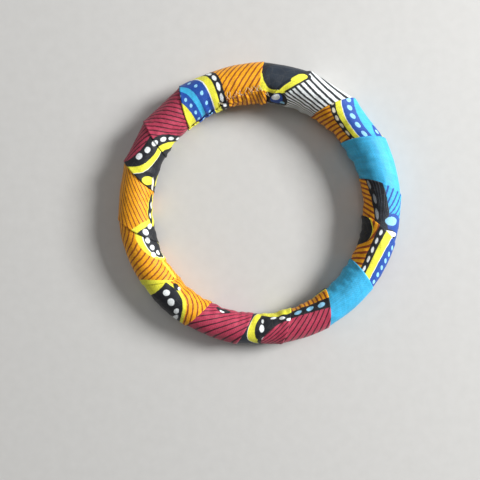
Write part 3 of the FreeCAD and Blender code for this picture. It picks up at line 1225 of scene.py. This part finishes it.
@dataclass
class EndFlap:
    """The strip's glued end: up the inner wall, cut off raw along the shoulder."""

    cotton: Cotton
    rows: int = 44
    columns: int = 190
    start_section: float = 222.0
    low_lift: float = 0.09 * MM
    high_lift: float = 0.34 * MM
    crumple: float = 0.6 * MM
    top_lean: float = 1.0
    climb_from: float = 215.0
    climb_to: float = 160.0
    least_flat: float = 10 * MM
    cut: tuple[Place, ...] = (
        (-226.0, 176.0), (-240.0, 171.0), (-248.0, 160.0), (-253.0, 140.0),
        (-260.0, 133.0), (-268.0, 127.0), (-273.0, 126.0), (-276.0, 140.0),
    )

    @classmethod
    def cut_section(cls, around: np.ndarray) -> np.ndarray:
        """Where the raw cut runs at angles about the ring, in degrees round the tube."""
        cut_at, cut_to = zip(*reversed(cls.cut))
        return np.interp(around, cut_at, cut_to)

    @staticmethod
    def ragged(around: float) -> float:
        """How far the raw cut wanders at an angle about the ring, in degrees round the tube."""
        broad = noise.noise(Vector((around * 0.7, 4.0, 0.0)))
        return 5.0 * broad + 3.5 * noise.noise(Vector((around * 3.1, 8.0, 0.0)))

    def build(self, material: bpy.types.Material) -> bpy.types.Object:
        """Builds the flap's sheet.

        Args:
            material: its printed cotton.

        Returns:
            The sheet, riding on the frame, with its size logged.
        """
        winding = self.cotton.winding
        own, far = winding.laps[-2], winding.laps[-1]
        start = np.array(self.start_section - 360)
        left, right = float(own.angle(start)), float(far.angle(start))
        share = np.linspace(0, 1, self.columns)[None, :]
        rise = np.linspace(0, 1, self.rows)[:, None]
        around = left + (right - left) * share + self.top_lean * rise
        around = np.broadcast_to(around, (self.rows, self.columns))
        edge = self.cut_section(around[-1]) + np.array([self.ragged(a) for a in around[-1]])
        section = self.start_section + (edge[None, :] - self.start_section) * rise
        climb = smooth_step(self.climb_from, self.climb_to, section)
        lift = self.low_lift + (self.high_lift - self.low_lift) * climb
        crumple = [
            [abs(noise.noise(Vector((a * 0.42 + s * 0.05, s * 0.07, 9.0)))) for a, s in zip(ra, rs)]
            for ra, rs in zip(around, section)
        ]
        lift = lift + self.crumple * np.array(crumple) * climb
        lift = lift + self.cotton.unevenness(around, section)
        grid = winding.place(around, section, lift)
        x = np.broadcast_to(share * self.cotton.width / MM, around.shape)
        piece = mesh_object("cloth_sheet_end_flap", grid, winding.chart(x, around, section))
        self.cotton.finish(piece, material)
        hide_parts("cloth_end_flap")
        length, across = mean_length(grid, 0), mean_length(grid, 1)
        flat = (round(max(across, self.least_flat), 4), round(max(length, self.least_flat), 4))
        log.info("%s: %.1f by %.1f mm of strip", piece.name, across / MM, length / MM)
        return piece


@dataclass
class LooseThreads:
    """Short cream threads that have come out of the flap's raw cut."""

    cotton: Cotton
    count: int = 30
    first_at: float = -251.0
    last_at: float = -275.0
    radius: float = 0.055 * MM
    height: float = 0.5 * MM
    tip_drop: float = 0.12 * MM
    before_cut: float = 6.0
    wander: float = 1.6
    leaning: float = 3.4
    reach: float = 7.0
    reach_spread: float = 12.0

    def thread(self, number: int) -> bpy.types.Object:
        """One thread, from the cut edge out over the last turn."""
        share = number / (self.count - 1)
        drift = [noise.noise(Vector((number * 1.7, side, 0.5))) for side in (0.3, 5.1, 9.7)]
        around = self.first_at + (self.last_at - self.first_at) * share + self.wander * drift[0]
        section = float(EndFlap.cut_section(around)) + self.before_cut
        bpy.ops.curve.primitive_bezier_curve_add(radius=1.0)
        piece = bpy.context.object
        spline = piece.data.splines[0]
        spline.bezier_points.add(1)
        for step, knot in enumerate(spline.bezier_points):
            angle = around + step * (0.4 + self.leaning * drift[1])
            turn = section - step * (self.reach + self.reach_spread * drift[2])
            lift = self.height + self.height * 0.5 * (step == 1) - self.tip_drop * step
            spot = self.cotton.winding.place(np.array(angle), np.array(turn), np.array(lift))
            knot.handle_left_type = knot.handle_right_type = "AUTO"
            knot.co = spot.tolist()
        piece.data.bevel_depth = self.radius
        piece.data.bevel_resolution = 1
        bpy.ops.object.convert(target="MESH")
        return bpy.context.object

    def build(self) -> bpy.types.Object:
        """Builds the threads as one piece."""
        threads = [self.thread(number) for number in range(self.count)]
        bpy.ops.object.select_all(action="DESELECT")
        for thread in threads:
            thread.select_set(True)
        bpy.context.view_layer.objects.active = threads[0]
        bpy.ops.object.join()
        piece = bpy.context.object
        piece.name = "loose_threads"
        piece.data.materials.clear()
        piece.data.materials.append(THREAD_FINISH.material())
        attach(piece, BODY)
        return piece


# ---------------------------------------------------------------------------------------------
# Studio
# ---------------------------------------------------------------------------------------------


@dataclass
class Studio:
    """A plain pale floor, soft light mostly from the right, and the camera straight above."""

    winding: Winding
    floor_size: float = 3.0
    camera_height: float = 173 * MM
    camera_beside: Place = (-5.7 * MM, -10.4 * MM)
    lens: float = 42.0
    surroundings: float = 0.15

    def floor(self) -> None:
        """Lays the floor."""
        bpy.ops.mesh.primitive_plane_add(size=self.floor_size, location=(0, 0, 0))
        plane = bpy.context.object
        plane.name = "floor"
        plane.data.materials.append(FLOOR_FINISH.material())

    def light(self, name: str, at: tuple[float, float, float], size: float, power: float) -> None:
        """Hangs a square soft light that faces the bangle."""
        data = bpy.data.lights.new(name, "AREA")
        data.size = size
        data.energy = power
        lamp = bpy.data.objects.new(name, data)
        lamp.location = at
        lamp.rotation_euler = (-Vector(at)).to_track_quat("-Z", "Y").to_euler()
        bpy.context.scene.collection.objects.link(lamp)

    def lights(self) -> None:
        """Hangs the lights and sets the pale surroundings."""
        self.light("key_light", (0.74, 0.24, 0.5), 0.34, 14.0)
        self.light("fill_light", (-0.2, 0.3, 1.0), 0.9, 2.1)
        world = bpy.data.worlds.new("studio")
        world.use_nodes = True
        background = world.node_tree.nodes["Background"]
        background.inputs["Color"].default_value = (1.0, 0.99, 0.97, 1)
        background.inputs["Strength"].default_value = self.surroundings
        bpy.context.scene.world = world
        bpy.context.scene.view_settings.view_transform = "Standard"

    def camera(self) -> None:
        """Places the camera over the bangle, looking straight down, with +Y up in the view."""
        data = bpy.data.cameras.new("camera")
        data.lens = self.lens
        data.clip_start = 0.01
        view = bpy.data.objects.new("camera", data)
        x, y, z = self.winding.centre
        view.location = (x + self.camera_beside[0], y + self.camera_beside[1], z + self.camera_height)
        bpy.context.scene.collection.objects.link(view)
        bpy.context.scene.camera = view

    def build(self) -> None:
        """Builds the studio."""
        self.floor()
        self.lights()
        self.camera()


def main() -> None:
    """Builds the bangle's looks round the frame."""
    logging.basicConfig(level=logging.INFO, format="%(name)s: %(message)s")
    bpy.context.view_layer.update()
    winding = Winding()
    cotton = Cotton(winding)
    shop = PrintShop()
    for number in range(1, TURN_COUNT + 1):
        kind = {1: FirstTurn, TURN_COUNT: LastTurn}.get(number, ClothTurn)
        kind(number, cotton).build(PRINTS[number].material(shop))
    EndFlap(cotton).build(PRINTS[TURN_COUNT + 1].material(shop))
    LooseThreads(cotton).build()
    for node, finish in CORE_FINISHES.items():
        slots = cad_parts[node].data.materials
        slots.clear()
        slots.append(finish.material())
        log.info("dressed %s", node)
    Studio(winding).build()


if __name__ == "__main__":
    main()
